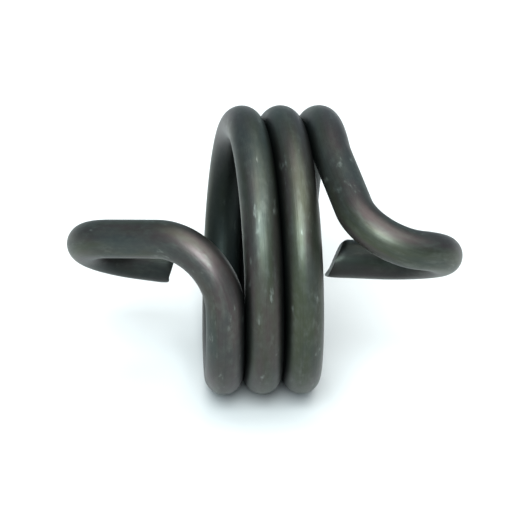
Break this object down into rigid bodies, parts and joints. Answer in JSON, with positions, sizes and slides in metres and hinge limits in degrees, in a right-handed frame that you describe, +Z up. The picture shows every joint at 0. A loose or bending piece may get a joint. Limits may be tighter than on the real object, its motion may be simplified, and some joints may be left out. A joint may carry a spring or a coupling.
{
  "type": "torsion spring with hooked legs",
  "caption": "Helical torsion spring of round dark steel wire, its legs bent outwards into open hooks that turn a lever back against a fixed bracket.",
  "frame": {"origin": "on the coil's axis, halfway along the wound length", "axes": "+X along the coil axis towards the right hook, +Z up, the legs on the -Y side"},
  "size_m": [0.05, 0.0419, 0.038],
  "materials": {
    "spring_wire": "dark oil-tempered wire, satin, with worn streaks"
  },
  "bodies": {
    "left_end": {"left_hook": "spring_wire", "left_leg": "spring_wire", "coil_lead_in": "spring_wire"},
    "turn_1_bottom": {"turn_1_bottom": "spring_wire"},
    "turn_1_rear": {"turn_1_rear": "spring_wire"},
    "turn_1_top": {"turn_1_top": "spring_wire"},
    "turn_1_front": {"turn_1_front": "spring_wire"},
    "turn_2_bottom": {"turn_2_bottom": "spring_wire"},
    "turn_2_rear": {"turn_2_rear": "spring_wire"},
    "turn_2_top": {"turn_2_top": "spring_wire"},
    "turn_2_front": {"turn_2_front": "spring_wire"},
    "turn_3_bottom": {"turn_3_bottom": "spring_wire"},
    "turn_3_rear": {"turn_3_rear": "spring_wire"},
    "right_end": {"turn_3_top": "spring_wire", "right_leg": "spring_wire", "right_hook": "spring_wire"}
  },
  "joints": [
    {"name": "flex_01", "type": "hinge", "parent": "left_end", "child": "turn_1_bottom", "pos_m": [-0.00645, -0.01167, -0.01167], "axis": [0.9988, 0.0352, -0.0352], "range_deg": [0, 3], "stiffness_Nm_per_rad": 240.9},
    {"name": "flex_02", "type": "hinge", "parent": "turn_1_bottom", "child": "turn_1_rear", "pos_m": [-0.00517, 0.01167, -0.01167], "axis": [0.9988, 0.0352, 0.0352], "range_deg": [0, 3], "stiffness_Nm_per_rad": 240.9},
    {"name": "flex_03", "type": "hinge", "parent": "turn_1_rear", "child": "turn_1_top", "pos_m": [-0.0039, 0.01167, 0.01167], "axis": [0.9988, -0.0352, 0.0352], "range_deg": [0, 3], "stiffness_Nm_per_rad": 240.9},
    {"name": "flex_04", "type": "hinge", "parent": "turn_1_top", "child": "turn_1_front", "pos_m": [-0.00262, -0.01167, 0.01167], "axis": [0.9988, -0.0352, -0.0352], "range_deg": [0, 3], "stiffness_Nm_per_rad": 240.9},
    {"name": "flex_05", "type": "hinge", "parent": "turn_1_front", "child": "turn_2_bottom", "pos_m": [-0.00135, -0.01167, -0.01167], "axis": [0.9988, 0.0352, -0.0352], "range_deg": [0, 3], "stiffness_Nm_per_rad": 240.9},
    {"name": "flex_06", "type": "hinge", "parent": "turn_2_bottom", "child": "turn_2_rear", "pos_m": [-0.00007, 0.01167, -0.01167], "axis": [0.9988, 0.0352, 0.0352], "range_deg": [0, 3], "stiffness_Nm_per_rad": 240.9},
    {"name": "flex_07", "type": "hinge", "parent": "turn_2_rear", "child": "turn_2_top", "pos_m": [0.0012, 0.01167, 0.01167], "axis": [0.9988, -0.0352, 0.0352], "range_deg": [0, 3], "stiffness_Nm_per_rad": 240.9},
    {"name": "flex_08", "type": "hinge", "parent": "turn_2_top", "child": "turn_2_front", "pos_m": [0.00248, -0.01167, 0.01167], "axis": [0.9988, -0.0352, -0.0352], "range_deg": [0, 3], "stiffness_Nm_per_rad": 240.9},
    {"name": "flex_09", "type": "hinge", "parent": "turn_2_front", "child": "turn_3_bottom", "pos_m": [0.00375, -0.01167, -0.01167], "axis": [0.9988, 0.0352, -0.0352], "range_deg": [0, 3], "stiffness_Nm_per_rad": 240.9},
    {"name": "flex_10", "type": "hinge", "parent": "turn_3_bottom", "child": "turn_3_rear", "pos_m": [0.00503, 0.01167, -0.01167], "axis": [0.9988, 0.0352, 0.0352], "range_deg": [0, 3], "stiffness_Nm_per_rad": 240.9},
    {"name": "flex_11", "type": "hinge", "parent": "turn_3_rear", "child": "right_end", "pos_m": [0.0063, 0.01167, 0.01167], "axis": [0.9988, -0.0352, 0.0352], "range_deg": [0, 3], "stiffness_Nm_per_rad": 240.9}
  ],
  "couplings": [
    {"joint": "flex_02", "follows": "flex_01", "ratio": 1},
    {"joint": "flex_03", "follows": "flex_01", "ratio": 1},
    {"joint": "flex_04", "follows": "flex_01", "ratio": 1},
    {"joint": "flex_05", "follows": "flex_01", "ratio": 1},
    {"joint": "flex_06", "follows": "flex_01", "ratio": 1},
    {"joint": "flex_07", "follows": "flex_01", "ratio": 1},
    {"joint": "flex_08", "follows": "flex_01", "ratio": 1},
    {"joint": "flex_09", "follows": "flex_01", "ratio": 1},
    {"joint": "flex_10", "follows": "flex_01", "ratio": 1},
    {"joint": "flex_11", "follows": "flex_01", "ratio": 1}
  ]
}
